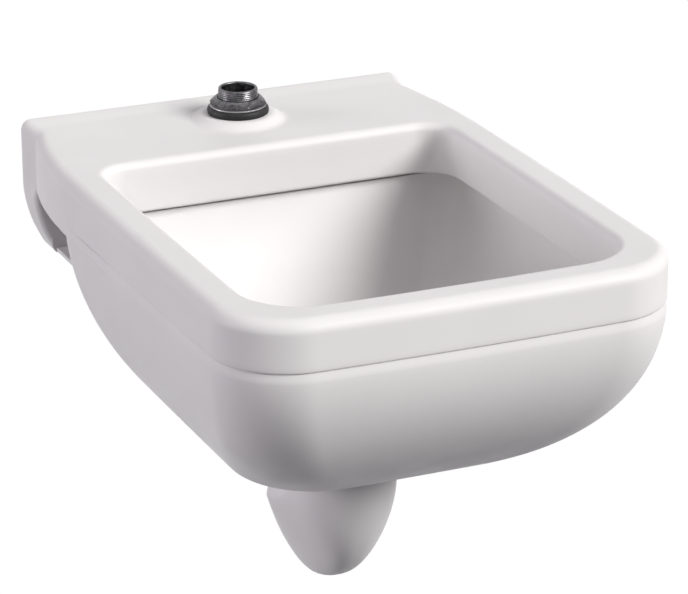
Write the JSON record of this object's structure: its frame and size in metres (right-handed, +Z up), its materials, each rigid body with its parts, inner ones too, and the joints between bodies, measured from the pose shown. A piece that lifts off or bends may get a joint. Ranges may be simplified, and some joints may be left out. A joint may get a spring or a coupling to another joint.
{
  "type": "mop service sink",
  "caption": "Wall-hung glazed china mop sink: flushing rim, rear deck with a top inlet spud, deep sloping bowl, moulded-in trap and back outlet.",
  "frame": {"origin": "centre of the waste outlet, on the face of the back plate that meets the wall", "axes": "+X across the sink to the right of a person who faces the wall, +Y into the wall, +Z up"},
  "size_m": [0.5138, 0.724, 0.5112],
  "materials": {
    "china": "glossy off-white glaze",
    "spud_metal": "dark polished plating",
    "ring_metal": "plain stamped metal",
    "rubber": "moulded black rubber"
  },
  "bodies": {
    "root": {"rim_casting": "china", "bowl_casting": "china", "back_casting": "china", "trap_casting": "china", "spud_body": "spud_metal", "spud_gasket": "rubber", "spud_friction_ring": "ring_metal", "spud_locknut": "spud_metal"}
  },
  "joints": []
}
